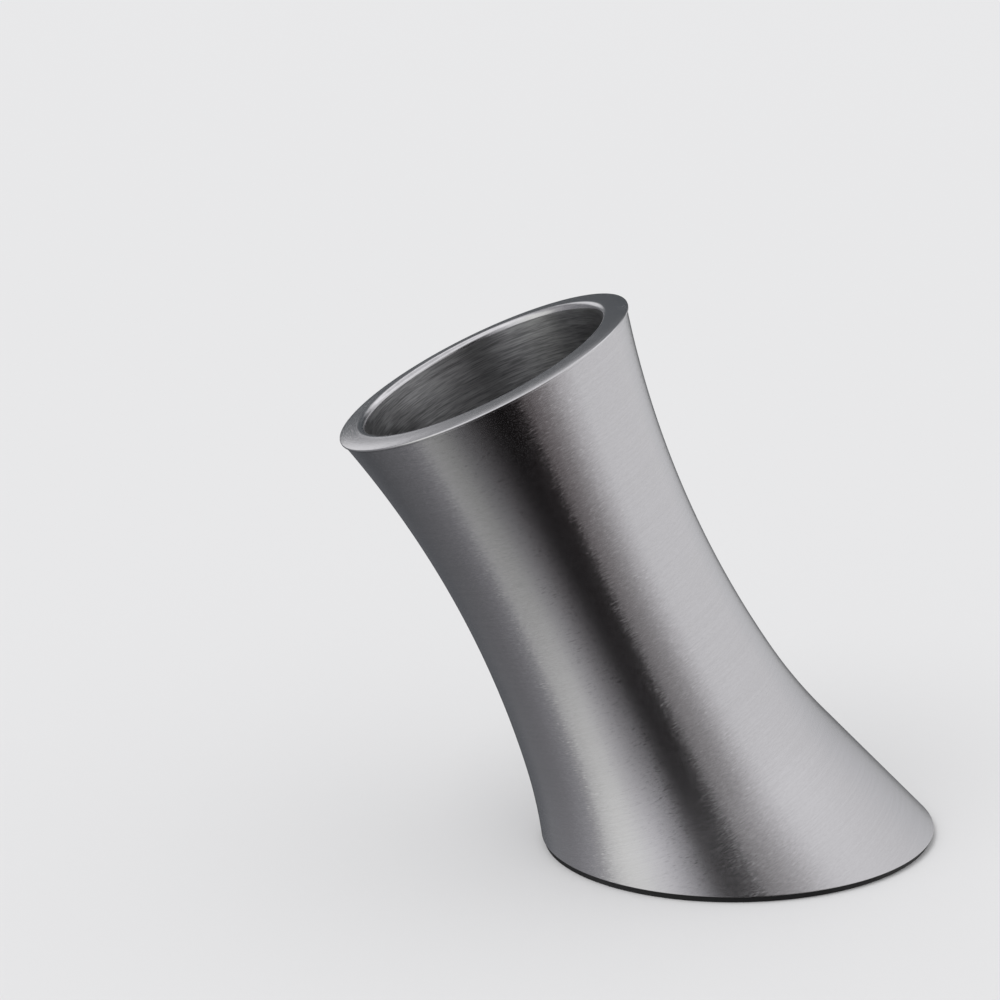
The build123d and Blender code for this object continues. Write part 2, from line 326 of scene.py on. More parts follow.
# %% Body
ROWS_ABOVE, ROWS_BELOW = 64, 44
FEWER_INSIDE = 5
LOWEST_FULL_ROW = 56.0
EDGE_ROUND, EDGE_STEPS = 0.3, 5


def side_rows(inset, top, bottom, above, below):
    """Rows down one face of the sheet: plain circles, then rows that turn level by the foot."""
    levels = [top] + list(np.linspace(top - HOLD, LOWEST_FULL_ROW, above, endpoint=False))
    last = bottom + HOLD
    levels += [LOWEST_FULL_ROW + (last - LOWEST_FULL_ROW) * t for t in np.linspace(0, 1, below)]
    levels.append(bottom)
    return [row_at(side_radius(level, inset), level) for level in levels]


def bend_over(first, corner, last):
    """Rows that round off a corner between two rows."""
    return [(1 - t)**2 * first + 2 * t * (1 - t) * corner + t * t * last
            for t in np.linspace(0, 1, EDGE_STEPS + 1)[1:]]


def make_body():
    """The side's outer face, the rounded lower edge, and the inner face back up to the rim."""
    top = UNDER_RIM_LEVEL + (UNDER_RIM_R - side_radius(RIM_LEVEL)) * RIM_RISE / RIM_WIDTH
    outer_end = level_at_height(EDGE_HEIGHT + EDGE_ROUND)
    inner_end = level_at_height(EDGE_HEIGHT + EDGE_ROUND, SHELL_SHEET)
    outer = side_rows(0.0, top, outer_end, ROWS_ABOVE, ROWS_BELOW)
    inner = side_rows(SHELL_SHEET, top, inner_end,
                      ROWS_ABOVE // FEWER_INSIDE, ROWS_BELOW // FEWER_INSIDE)[::-1]
    outer_cut = level_at_height(EDGE_HEIGHT)
    inner_cut = level_at_height(EDGE_HEIGHT, SHELL_SHEET)
    outer_corner = row_at(side_radius(outer_cut), outer_cut)
    inner_corner = row_at(side_radius(inner_cut, SHELL_SHEET), inner_cut)
    across = (inner_corner - outer_corner) * EDGE_ROUND / SHELL_SHEET
    edge = bend_over(outer[-1], outer_corner, outer_corner + across)
    edge += bend_over(inner_corner - across, inner_corner, inner[0])
    return lathe("body", outer + edge + inner[1:], closed=True)


body = make_body()

# %% [markdown]
# ## The cup
# The cup is drawn from one disc of steel. Its wall is straight below the waist and widens towards
# the mouth along its own arc. The section starts in the middle of the floor inside, goes up the
# wall, over the top edge, and down the outside to the middle again. Its first and last points are
# on the axis itself, where a whole row of the lathe shrinks to one point. The top edge meets the
# rim's turned-down edge so closely that the joint is polished away, so it is hardly softened.

# %% Cup
BEND_POINTS, RISING_POINTS = 13, 34
CUP_EDGE_ROUND = 0.02


def cup_face(outside, floor, corner):
    """Points of one face of the cup, from the middle of its floor up to the rim's flange."""
    wall = CUP_R + outside
    foot = [np.array([0.0, floor]), np.array([wall - corner, floor])]
    bend = [np.array([wall - corner + corner * sin(a), floor + corner * (1 - cos(a))])
            for a in np.linspace(0, pi / 2, BEND_POINTS)]
    straight = [np.array([wall, WAIST_LEVEL])]
    rising = [np.array([cup_radius(level, outside), level])
              for level in np.linspace(WAIST_LEVEL, RIM_LEVEL - RIM_FLANGE, RISING_POINTS)]
    return filled(foot + bend[1:] + straight + rising[1:])


def make_cup():
    """The drawn cup with both its faces and a softened top edge."""
    inside = cup_face(0.0, UNDER_CUP + CUP_SHEET, CUP_CORNER)
    outside = cup_face(CUP_SHEET, UNDER_CUP, CUP_CORNER + CUP_SHEET)[::-1]
    soften = np.array([CUP_EDGE_ROUND, 0.0])
    drop = np.array([0.0, CUP_EDGE_ROUND])
    hold = (inside[-2] - inside[-1]) / np.linalg.norm(inside[-2] - inside[-1]) * HOLD
    edge = [inside[-1] + hold, inside[-1] - drop, inside[-1] + soften,
            outside[0] - soften, outside[0] - drop, outside[0] + hold]
    section = inside[:-1] + edge + outside[1:]
    return lathe("cup", [row_at(r, level) for r, level in section])


cup = make_cup()

# %% [markdown]
# ## The foot pad
# The pad is a sheet of rubber die-cut to the foot's outline, a millimetre inside the steel, so
# that it shows only as a dark line. It is the one piece here that isn't turned about the axis:
# its rows are the same outline drawn at different heights and sizes. The outline comes from the
# body's side, moved in by the inset, at the height of the steel's lower edge.

# %% Foot pad
PAD_TOP_ROUND, PAD_LOW_ROUND = 0.25, 0.5
PAD_RINGS = 12


def pad_row(outline, normals, inset, height):
    """The pad's outline moved in by an inset and set at a height, both in millimetres."""
    row = outline - normals * inset * MM
    row[:, 2] = height * MM
    return row


def make_pad():
    """The rubber pad, from the middle of its top out over its edge to the middle underneath."""
    cut = level_at_height(EDGE_HEIGHT, PAD_INSET)
    outline = row_at(side_radius(cut, PAD_INSET), cut)
    ahead = np.roll(outline, -1, axis=0) - np.roll(outline, 1, axis=0)
    normals = np.cross(ahead, [0.0, 0.0, 1.0])
    normals /= np.linalg.norm(normals, axis=1)[:, None]
    profile = [(PAD_TOP_ROUND + HOLD, PAD_HEIGHT)]
    top_round = (PAD_TOP_ROUND, PAD_HEIGHT - PAD_TOP_ROUND, 0)
    low_round = (PAD_LOW_ROUND, PAD_LOW_ROUND, pi / 2)
    for size, centre, first in (top_round, low_round):
        for a in np.linspace(first, first + pi / 2, ROUND_STEPS + 1):
            profile.append((size * (1 - sin(a)), centre + size * cos(a)))
    profile.append((PAD_LOW_ROUND + HOLD, 0.0))
    rows = [pad_row(outline, normals, *place) for place in profile]
    shares = np.linspace(0, 1, PAD_RINGS, endpoint=False)
    middle = np.array([outline[:, 0].mean(), 0.0, 0.0])
    top = [(rows[0] - middle) * (share, share, 1) + middle for share in shares]
    underside = [(rows[-1] - middle) * (share, share, 1) + middle for share in shares[::-1]]
    return lathe("pad", top + rows + underside)


pad = make_pad()

# %% [markdown]
# ## Check the new pieces against the frame
# A rebuilt piece is only good if it lies where the engineering model says. For each one, the
# distance from its points to the surface of the node that it replaces is measured, and the
# largest is printed.


# %% Fit to the frame
REPLACED = {"rim": "rim_ring", "body": "outer_shell", "cup": "inner_liner", "pad": "foot_pad"}
for piece in (rim, body, cup, pad):
    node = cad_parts[REPLACED[piece.name]].data
    points, faces = [v.co for v in node.vertices], [p.vertices for p in node.polygons]
    surface = BVHTree.FromPolygons(points, faces)
    gaps = [surface.find_nearest(v.co)[3] for v in piece.data.vertices]
    print(f"{piece.name}: at most {max(gaps) / MM:.3f} mm from {REPLACED[piece.name]}")
    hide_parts(REPLACED[piece.name])
    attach(piece, "root")

# %% [markdown]
# ## Small helpers for shader nodes
# A material in Blender is a graph of nodes, and building one in Python soon gets long. These
# helpers keep it short: one adds a node and fills its inputs, with a value where it is given a
# value and with a link where it is given another node's output, and the others do sums, noise,
# blends and node groups.


# %% Node helpers
def add_node(tree, kind, inputs=None, **settings):
    """A new node. Settings are its properties, and inputs maps its sockets to values or links."""
    made = tree.nodes.new("ShaderNode" + kind)
    for name, value in settings.items():
        setattr(made, name, value)
    for name, value in (inputs or {}).items():
        if isinstance(value, bpy.types.NodeSocket):
            tree.links.new(value, made.inputs[name])
        else:
            made.inputs[name].default_value = value
    return made


def calc(tree, operation, *values):
    """The output of a Math node."""
    return add_node(tree, "Math", dict(enumerate(values)), operation=operation).outputs[0]


def vector_calc(tree, operation, *values):
    """The output of a Vector Math node; the second value of a SCALE is its Scale socket."""
    names = (0, "Scale") if operation == "SCALE" else (0, 1)
    node = add_node(tree, "VectorMath", dict(zip(names, values)), operation=operation)
    return node.outputs["Value" if operation == "DOT_PRODUCT" else "Vector"]


def between(tree, value, low, high, to_low=0.0, to_high=1.0):
    """A value's place between low and high, eased at both ends and clamped, as a new range."""
    inputs = {"Value": value, "From Min": low, "From Max": high,
              "To Min": to_low, "To Max": to_high}
    return add_node(tree, "MapRange", inputs, interpolation_type="SMOOTHSTEP").outputs["Result"]


def weighted(tree, start, *terms):
    """A starting value plus any number of values, each times its own weight."""
    total = start
    for value, weight in terms:
        total = calc(tree, "MULTIPLY_ADD", value, weight, total)
    return total


def noise(tree, place, **inputs):
    """The value of soft noise at a place."""
    return add_node(tree, "TexNoise", {"Vector": place, **inputs}).outputs[0]


def blend_colours(tree, share, first, second):
    """Two colours mixed by a share. A Mix node keeps its colour inputs in places 6 and 7."""
    return add_node(tree, "Mix", {0: share, 6: first, 7: second}, data_type="RGBA").outputs[2]


def rgb(red, green, blue):
    """A colour as Blender's sockets take it."""
    return (red, green, blue, 1.0)


def new_group(name, inputs, outputs):
    """A shader node group, with the sockets that bring its inputs and that take its outputs."""
    group = bpy.data.node_groups.new(name, "ShaderNodeTree")
    for label, kind, value in inputs:
        socket = group.interface.new_socket(label, in_out="INPUT", socket_type="NodeSocket" + kind)
        socket.default_value = value
    for label, kind in outputs:
        group.interface.new_socket(label, in_out="OUTPUT", socket_type="NodeSocket" + kind)
    given, wanted = group.nodes.new("NodeGroupInput"), group.nodes.new("NodeGroupOutput")
    return group, given.outputs, wanted.inputs


def use_group(tree, group, **inputs):
    """The outputs of a group placed in a tree. Input names have _ in place of a space."""
    named = {name.replace("_", " "): value for name, value in inputs.items()}
    return add_node(tree, "Group", named, node_tree=group).outputs


def axis_place(tree):
    """Place in the leaning body's own frame: X and Y across its axis, Z along it, in metres."""
    coordinates = add_node(tree, "TexCoord").outputs["Object"]
    inputs = {"Vector": coordinates, "Location": AXIS_FOOT, "Rotation": (0.0, -LEAN, 0.0)}
    return add_node(tree, "Mapping", inputs, vector_type="TEXTURE").outputs[0]


# %% [markdown]
# ## Brushed grain
# A polishing belt leaves thousands of fine parallel scratches, which run round the body. Up close
# they are short bright and dark dashes; from further off they only soften the reflections. The
# group below draws them with noise that is stretched: slow across the axis, so that each streak
# is several millimetres long, and fast along it, so that each is a fraction of a millimetre wide.
# Distance from the axis is taken off the distance along it, so the same grain goes round the
# rim's flat top too. Each streak also turns the surface a little to one side, and a few deep
# scratches turn it a lot: that is what makes the edge of a reflection look grainy.

# %% Brushed grain group
GRAIN, grain_in, grain_out = new_group(
    "brushed_grain",
    [("Streak Width", "Float", 0.0004), ("Streak Length", "Float", 0.008),
     ("Tilt", "Float", 0.03), ("Scratch Tilt", "Float", 0.1)],
    [("Grain", "Float"), ("Normal", "Vector")])
SCRATCH_WIDER = 1.3
ELSEWHERE = 40.0


def streak_noise(tree, width, length, detail, offset):
    """Noise from 0 to 1 in streaks that run round the axis. Offset moves to another part of it."""
    place = add_node(tree, "SeparateXYZ", {0: axis_place(tree)}).outputs
    radius = calc(tree, "SQRT", calc(tree, "ADD", calc(tree, "MULTIPLY", place[0], place[0]),
                                     calc(tree, "MULTIPLY", place[1], place[1])))
    depth = calc(tree, "DIVIDE", calc(tree, "SUBTRACT", place[2], radius), width)
    across_x = calc(tree, "ADD", calc(tree, "DIVIDE", place[0], length), offset)
    across_y = calc(tree, "DIVIDE", place[1], length)
    stretched = add_node(tree, "CombineXYZ", {0: across_x, 1: across_y, 2: depth}).outputs[0]
    return noise(tree, stretched, Scale=1.0, Detail=detail, Roughness=0.6)


def build_grain():
    """Fills the group: the streaks, the deep scratches, and the normal that both turn."""
    tree = GRAIN
    width, length = grain_in["Streak Width"], grain_in["Streak Length"]
    streaks = streak_noise(tree, width, length, detail=2.0, offset=0.0)
    tree.links.new(between(tree, streaks, 0.3, 0.7), grain_out["Grain"])
    scratch_width = calc(tree, "MULTIPLY", width, SCRATCH_WIDER)
    scratch_noise = streak_noise(tree, scratch_width, length, detail=0.0, offset=ELSEWHERE)
    scratches = between(tree, scratch_noise, 0.62, 0.8)
    geometry = add_node(tree, "NewGeometry").outputs
    from_axis = vector_calc(tree, "SUBTRACT", geometry["Position"], AXIS_FOOT)
    along = vector_calc(tree, "NORMALIZE", vector_calc(tree, "CROSS_PRODUCT", UP, from_axis))
    centred = calc(tree, "MULTIPLY", calc(tree, "SUBTRACT", streaks, 0.5), grain_in["Tilt"])
    deep = calc(tree, "MULTIPLY", scratches, grain_in["Scratch Tilt"])
    turn = vector_calc(tree, "SCALE", along, calc(tree, "ADD", centred, deep))
    normal = vector_calc(tree, "NORMALIZE", vector_calc(tree, "ADD", geometry["Normal"], turn))
    tree.links.new(normal, grain_out["Normal"])


build_grain()
print("brushed_grain:", len(GRAIN.nodes), "nodes")

# %% [markdown]
# ## Worn edges
# Handling polishes the edges of metal and greys the edges of rubber. The Bevel node gives the
# normal that the surface would have if its edges were rounded; where that differs from the true
# normal, there is an edge. The dot product of the two turns the difference into a mask.

# %% Edge wear group
EDGES, edges_in, edges_out = new_group(
    "edge_wear", [("Width", "Float", 0.0006), ("Strength", "Float", 6.0)], [("Mask", "Float")])


def build_edges():
    """Fills the group: one minus how well the two normals agree, broken up by a little noise."""
    tree = EDGES
    softened = add_node(tree, "Bevel", {"Radius": edges_in["Width"]}, samples=6).outputs[0]
    true_normal = add_node(tree, "NewGeometry").outputs["Normal"]
    apart = calc(tree, "SUBTRACT", 1.0, vector_calc(tree, "DOT_PRODUCT", softened, true_normal))
    patches = noise(tree, axis_place(tree), Scale=300.0)
    worn = calc(tree, "MULTIPLY", calc(tree, "MULTIPLY", apart, edges_in["Strength"]), patches)
    tree.links.new(calc(tree, "MINIMUM", worn, 1.0), edges_out["Mask"])


build_edges()

# %% [markdown]
# ## Smudges and pebbled surfaces
# Two more effects are shared. Faint smudges come from large soft noise with finer noise inside
# it. A pebbled surface, as on moulded rubber and cast iron, is a Voronoi pattern smoothed by
# noise: it gives a height for bump and a mask for specks of another colour.

# %% Smudge and pebble groups
SMUDGES, smudges_in, smudges_out = new_group(
    "smudges", [("Size", "Float", 0.03), ("Cover", "Float", 0.45)], [("Mask", "Float")])
PEBBLE, pebble_in, pebble_out = new_group(
    "pebble", [("Size", "Float", 0.0006)], [("Height", "Float"), ("Specks", "Float")])


def in_sizes(tree, size):
    """Place in the body's own frame, counted in a pattern's size."""
    return vector_calc(tree, "SCALE", axis_place(tree), calc(tree, "DIVIDE", 1.0, size))


def build_smudges():
    """Fills the smudge group: large soft patches times finer streaky noise."""
    tree = SMUDGES
    scaled = in_sizes(tree, smudges_in["Size"])
    large = noise(tree, scaled, Scale=1.0, Detail=3.0)
    fine = noise(tree, scaled, Scale=9.0, Detail=4.0)
    edge = calc(tree, "SUBTRACT", 1.0, smudges_in["Cover"])
    patch = between(tree, large, edge, calc(tree, "ADD", edge, 0.25))
    tree.links.new(calc(tree, "MULTIPLY", patch, fine), smudges_out["Mask"])


def build_pebble():
    """Fills the pebble group: rounded cells for height, and rare cells for specks."""
    tree = PEBBLE
    scaled = in_sizes(tree, pebble_in["Size"])
    cells = add_node(tree, "TexVoronoi", {"Vector": scaled, "Scale": 1.0}, feature="SMOOTH_F1")
    swell = noise(tree, scaled, Scale=0.4, Detail=3.0)
    height = weighted(tree, swell, (cells.outputs["Distance"], -0.6))
    tree.links.new(height, pebble_out["Height"])
    rare = noise(tree, scaled, Scale=0.25, Detail=5.0)
    tree.links.new(between(tree, rare, 0.6, 0.7), pebble_out["Specks"])


build_smudges()
build_pebble()
print("groups:", ", ".join(group.name for group in bpy.data.node_groups))


# %% [markdown]
# ## Helpers for materials
# Every material starts the same way, with one Principled shader. The brushed ones also need to
# know which way is round the piece, which the lathe's UV map tells them, and the uneven ones get
# a Bump node, which turns a height into shading.


# %% Material helpers
def new_material(name, **fixed):
    """A material with a Principled shader; fixed values are the same all over the surface."""
    material = bpy.data.materials.new(name)
    material.use_nodes = True
    tree = material.node_tree
    tree.nodes.clear()
    named = {name.replace("_", " "): value for name, value in fixed.items()}
    shader = add_node(tree, "BsdfPrincipled", named)
    output = add_node(tree, "OutputMaterial")
    tree.links.new(shader.outputs[0], output.inputs["Surface"])
    return material, tree, shader.inputs


def run_round(tree, shader):
    """Points the shader's tangent round the piece, the way that the polishing belt ran."""
    tangent = add_node(tree, "Tangent", direction_type="UV_MAP", uv_map=ROUND_MAP)
    tree.links.new(tangent.outputs[0], shader["Tangent"])


def add_bumps(tree, shader, height, depth, strength):
    """Shades a surface as if a pattern's height stood out of it by a depth in metres."""
    bump = add_node(tree, "Bump", {"Height": height, "Distance": depth, "Strength": strength})
    tree.links.new(bump.outputs[0], shader["Normal"])


def dress(piece, material):
    """Gives a piece of ours, or a node of the frame, its material."""
    if not piece.data.materials:
        piece.data.materials.append(material)
    for slot in piece.material_slots:
        slot.material = material
    print(f"{piece.name}: {material.name}")


# %% [markdown]
# ## Brushed steel on the body
# Scratches spread a reflection across themselves and leave it sharp along themselves, which is
# why the lights in the room become long bands down the body. The Principled shader does this
# with Anisotropic, and a rotation of a quarter turn sets the spread across the tangent. Over it
# come the grain in colour and roughness, a few long lines that the belt left, and faint smudges.


# %% Body finish
def body_steel():
    """Belt-brushed stainless steel, with the grain running round the body."""
    material, tree, shader = new_material(
        "brushed_steel_body", Metallic=1.0, Anisotropic=0.85, Anisotropic_Rotation=0.25)
    fine = use_group(tree, GRAIN, Streak_Width=0.00036, Streak_Length=0.0021,
                     Tilt=0.1, Scratch_Tilt=0.05)
    lines = use_group(tree, GRAIN, Streak_Width=0.0009, Streak_Length=0.06)
    smudges = use_group(tree, SMUDGES, Size=0.04, Cover=0.42)
    tone = weighted(tree, 0.0, (fine["Grain"], 0.6), (lines["Grain"], 0.4))
    colour = blend_colours(tree, tone, rgb(0.595, 0.586, 0.606), rgb(0.645, 0.635, 0.66))
    tree.links.new(colour, shader["Base Color"])
    rough = weighted(tree, 0.195, (fine["Grain"], 0.05), (smudges["Mask"], 0.06))
    tree.links.new(rough, shader["Roughness"])
    tree.links.new(fine["Normal"], shader["Normal"])
    run_round(tree, shader)
    return material


dress(body, body_steel())

# %% [markdown]
# ## Satin steel on the rim
# The rim is brushed more finely than the body, and its rounded outer edge has been polished by
# hands. The wear mask finds that edge, so it can make the steel there less rough and lighter in
# colour; the lighter colour is partly that polish and partly a painted highlight along the edge.


# %% Rim finish
def rim_steel_with_edge_highlight():
    """Finely brushed steel with a polished edge, lighter there partly as a painted highlight."""
    material, tree, shader = new_material(
        "satin_steel_rim_edge_highlight", Metallic=1.0, Anisotropic=0.45, Anisotropic_Rotation=0.25)
    fine = use_group(tree, GRAIN, Streak_Width=0.00016, Streak_Length=0.004,
                     Tilt=0.05, Scratch_Tilt=0.05)
    smudges = use_group(tree, SMUDGES, Size=0.012, Cover=0.5)
    worn = use_group(tree, EDGES, Width=0.0009, Strength=5.0)["Mask"]
    colour = blend_colours(tree, fine["Grain"], rgb(0.58, 0.573, 0.59), rgb(0.66, 0.652, 0.672))
    # The lighter colour on the edge is partly polish and partly a painted highlight.
    tree.links.new(blend_colours(tree, worn, colour, rgb(0.72, 0.71, 0.73)), shader["Base Color"])
    rough = weighted(tree, 0.19, (fine["Grain"], 0.05), (smudges["Mask"], 0.08), (worn, -0.08))
    tree.links.new(rough, shader["Roughness"])
    tree.links.new(fine["Normal"], shader["Normal"])
    run_round(tree, shader)
    return material


dress(rim, rim_steel_with_edge_highlight())

# %% [markdown]
# ## Drawn steel in the cup
# Inside the cup nothing has been polished after drawing: the steel is rougher, with finer and
# coarser rings from the press tool, and its colour is much darker than the body's, partly the
# duller drawn steel and partly painted shade deep in the cup. The rim's turned-down edge lies
# against the cup and looks into it, so its faces get the cup's finish and its painted shade too.
# They are picked by their place: below the rim's bend, and no further from the axis than the cup's
# wall.

# %% Cup finish
NEAR_CUP = 0.3


def cup_steel_with_painted_shade():
    """Drawn steel, rougher, with fine and coarse rings; its dark colour is partly painted shade.
    """
    material, tree, shader = new_material(
        "drawn_steel_cup_painted_shade", Metallic=1.0, Anisotropic=0.6, Anisotropic_Rotation=0.25)
    fine = use_group(tree, GRAIN, Streak_Width=0.0004, Streak_Length=0.009,
                     Tilt=0.1, Scratch_Tilt=0.06)
    rings = use_group(tree, GRAIN, Streak_Width=0.0025, Streak_Length=0.3)
    smudges = use_group(tree, SMUDGES, Size=0.02, Cover=0.5)
    tone = weighted(tree, 0.0, (fine["Grain"], 0.65), (rings["Grain"], 0.35))
    # The dark colours are partly the drawn steel and partly painted shade deep inside the cup.
    colour = blend_colours(tree, tone, rgb(0.17, 0.17, 0.174), rgb(0.43, 0.43, 0.438))
    tree.links.new(colour, shader["Base Color"])
    rough = weighted(tree, 0.3, (tone, 0.1), (smudges["Mask"], 0.12))
    tree.links.new(rough, shader["Roughness"])
    tree.links.new(fine["Normal"], shader["Normal"])
    run_round(tree, shader)
    return material


def finish_and_shade_inside(piece, material):
    """Gives the faces that look into the cup, below the rim's bend, the cup's finish and painted
    shade.
    """
    piece.data.materials.append(material)
    bend_ends = RIM_LEVEL + RIM_RISE - RIM_BEND
    for face in piece.data.polygons:
        from_foot = np.array(face.center) - AXIS_FOOT
        level = from_foot @ UP / MM
        radius = np.linalg.norm(from_foot / MM - level * UP)
        if level < bend_ends and radius < cup_radius(level) + NEAR_CUP:
            face.material_index = 1


drawn_and_shaded = cup_steel_with_painted_shade()
dress(cup, drawn_and_shaded)
finish_and_shade_inside(rim, drawn_and_shaded)

# %% [markdown]
# ## Rubber and adhesive
# The pad is black rubber with a fine moulded pebble, a little grey where its edge has been
# rubbed. The film that holds the pad and the small plug in the vent hole share the same recipe
# with other values.


# %% Rubber finishes
def rubber(name, dark, light, roughness, pebble, depth):
    """Matte rubber: two close tones, a pebbled surface, and edges rubbed lighter."""
    material, tree, shader = new_material(name, IOR=1.48)
    surface = use_group(tree, PEBBLE, Size=pebble)
    dust = use_group(tree, SMUDGES, Size=0.015, Cover=0.5)["Mask"]
    worn = use_group(tree, EDGES, Width=0.0005, Strength=3.0)["Mask"]
    tone = calc(tree, "MAXIMUM", calc(tree, "MULTIPLY", dust, 0.5), worn)
    tree.links.new(blend_colours(tree, tone, dark, light), shader["Base Color"])
    rough = weighted(tree, roughness, (surface["Specks"], 0.1))
    tree.links.new(rough, shader["Roughness"])
    add_bumps(tree, shader, surface["Height"], depth, strength=0.6)
    return material


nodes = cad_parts
dress(pad, rubber(
    "black_rubber_pad", dark=rgb(0.008, 0.008, 0.009), light=rgb(0.035, 0.034, 0.033),
    roughness=0.66, pebble=0.0007, depth=0.00012))
dress(nodes["vent_plug"], rubber(
    "grey_rubber_plug", dark=rgb(0.03, 0.031, 0.033), light=rgb(0.09, 0.09, 0.09),
    roughness=0.5, pebble=0.0005, depth=0.00005))
dress(nodes["pad_adhesive"], rubber(
    "dark_adhesive_film", dark=rgb(0.02, 0.019, 0.018), light=rgb(0.06, 0.056, 0.05),
    roughness=0.35, pebble=0.0009, depth=0.00003))

# %% [markdown]
# ## The weight and its plate
# The base plate, the cast-iron weight and its fixings are shut inside the double wall, but the
# model can be taken apart, so they are finished too. Cast iron is dark and rough with a few rusty
# specks. The plate is plain sheet steel, so it is duller than the body and shows the fine lines
# of the rolling mill: noise does that when it is squeezed across them.


# %% Iron and plate
def cast_iron():
    """Sand-cast iron with a rough skin, rusty specks and bare edges."""
    material, tree, shader = new_material("cast_iron_weight", Metallic=0.75)
    skin = use_group(tree, PEBBLE, Size=0.0013)
    worn = use_group(tree, EDGES, Width=0.001, Strength=4.0)["Mask"]
    colour = blend_colours(tree, skin["Specks"], rgb(0.085, 0.08, 0.078), rgb(0.125, 0.078, 0.055))
    tree.links.new(blend_colours(tree, worn, colour, rgb(0.3, 0.29, 0.28)), shader["Base Color"])
    tree.links.new(weighted(tree, 0.62, (skin["Specks"], 0.2)), shader["Roughness"])
    add_bumps(tree, shader, skin["Height"], depth=0.0006, strength=0.8)
    return material


def mill_steel():
    """Cold-rolled sheet as it comes from the mill: dull, cloudy, with fine rolling lines."""
    material, tree, shader = new_material("mill_steel_plate", Metallic=1.0)
    place = add_node(tree, "TexCoord").outputs["Object"]
    rolled = vector_calc(tree, "MULTIPLY", place, (60.0, 2500.0, 60.0))
    lines = noise(tree, rolled, Scale=1.0, Detail=3.0)
    clouds = use_group(tree, SMUDGES, Size=0.025, Cover=0.55)["Mask"]
    worn = use_group(tree, EDGES, Width=0.0006, Strength=4.0)["Mask"]
    colour = blend_colours(tree, lines, rgb(0.47, 0.465, 0.46), rgb(0.6, 0.595, 0.59))
    tree.links.new(blend_colours(tree, worn, colour, rgb(0.7, 0.69, 0.68)), shader["Base Color"])
    tree.links.new(weighted(tree, 0.38, (clouds, 0.2)), shader["Roughness"])
    add_bumps(tree, shader, lines, depth=0.00002, strength=0.5)
    return material


dress(nodes["ballast_weight"], cast_iron())
dress(nodes["base_plate"], mill_steel())

# %% [markdown]
# ## Zinc plating and a thread
# The studs, washers and nuts are zinc-plated, with the faint yellow and blue of the passivation.
# The studs carry a thread. Cut in the mesh it would cost thousands of faces that hardly show, so
# it is a bump, drawn as a helix: height along the stud plus the turn about it, each pitch of the
# thread one wave. The two studs stand either side of the middle, so the distance from the middle
# serves for both.

# %% Zinc finish
THREAD_PITCH = 1.0 * MM
STUD_SPACING = 56.0 * MM


def thread_height(tree, pitch):
    """Height of a thread on the upright sides of the two studs, from 0 to a half."""
    place = add_node(tree, "TexCoord").outputs["Object"]
    place = add_node(tree, "SeparateXYZ", {0: place}).outputs
    low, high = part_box("ballast_studs")
    ahead = calc(tree, "SUBTRACT", place[0], (low.x + high.x) / 2)
    side = calc(tree, "SUBTRACT", calc(tree, "ABSOLUTE", place[1]), STUD_SPACING / 2)
    turns = calc(tree, "DIVIDE", calc(tree, "ARCTAN2", side, ahead), 2 * pi)
    waves = calc(tree, "ADD", calc(tree, "DIVIDE", place[2], pitch), turns)
    normal = add_node(tree, "NewGeometry").outputs["Normal"]
    level = calc(tree, "ABSOLUTE", vector_calc(tree, "DOT_PRODUCT", (0.0, 0.0, 1.0), normal))
    on_side = between(tree, level, 0.3, 0.7, 1.0, 0.0)
    return calc(tree, "MULTIPLY", calc(tree, "PINGPONG", waves, 0.5), on_side)


def zinc(name, thread=0.0):
    """Zinc plating with faint passivation colours, and a thread where a pitch is given."""
    material, tree, shader = new_material(name, Metallic=1.0)
    clouds = use_group(tree, SMUDGES, Size=0.004, Cover=0.6)["Mask"]
    worn = use_group(tree, EDGES, Width=0.0004, Strength=5.0)["Mask"]
    colour = blend_colours(tree, clouds, rgb(0.6, 0.62, 0.64), rgb(0.68, 0.63, 0.5))
    tree.links.new(blend_colours(tree, worn, colour, rgb(0.75, 0.75, 0.75)), shader["Base Color"])
    tree.links.new(weighted(tree, 0.28, (clouds, 0.15)), shader["Roughness"])
    if thread:
        height, depth = thread_height(tree, thread), thread * 0.6
    else:
        height, depth = use_group(tree, PEBBLE, Size=0.0004)["Height"], 0.00002
    add_bumps(tree, shader, height, depth, strength=0.8)
    return material


dress(nodes["ballast_studs"], zinc("zinc_studs", THREAD_PITCH))
plated = zinc("zinc_plated")
for name in ("ballast_washers", "spring_washers", "ballast_nuts"):
    dress(nodes[name], plated)

# %% [markdown]
# ## The camera
# The camera looks down on the cooler by about 17 degrees from well back, through a long lens, so
# that the perspective stays gentle. A small roll and heading finish its placing.

# %% Camera
LENS = 124.36
TILT_DOWN = radians(16.86)
ROLL = radians(-1.66)
HEADING = radians(-1.46)
CAMERA_AT = (-0.1315, -1.3609, 0.5640)
camera = bpy.data.objects.new("camera", bpy.data.cameras.new("camera"))
camera.data.lens = LENS
camera.location = CAMERA_AT
aim = Matrix.Rotation(HEADING, 4, "Z") @ Matrix.Rotation(pi / 2 - TILT_DOWN, 4, "X")
camera.rotation_euler = (aim @ Matrix.Rotation(ROLL, 4, "Z")).to_euler()
bpy.context.scene.collection.objects.link(camera)
bpy.context.scene.camera = camera
print(f"camera: {LENS:.0f} mm lens, {np.linalg.norm(CAMERA_AT):.2f} m from the cooler's foot")

# %% [markdown]
# ## Strips of light
# Polished metal has almost no look of its own: it shows the room. So a studio stands bright and
# dark strips round it, and here a colour ramp lists them by compass direction: zero is towards
# the camera's side and a right angle is towards +X. There are three rings of strips: at the
# height of the eye, below it and far below it, where a table would mirror them more dimly. Each
# strip has a faint cast of colour, and the dark ones in front are a little red.

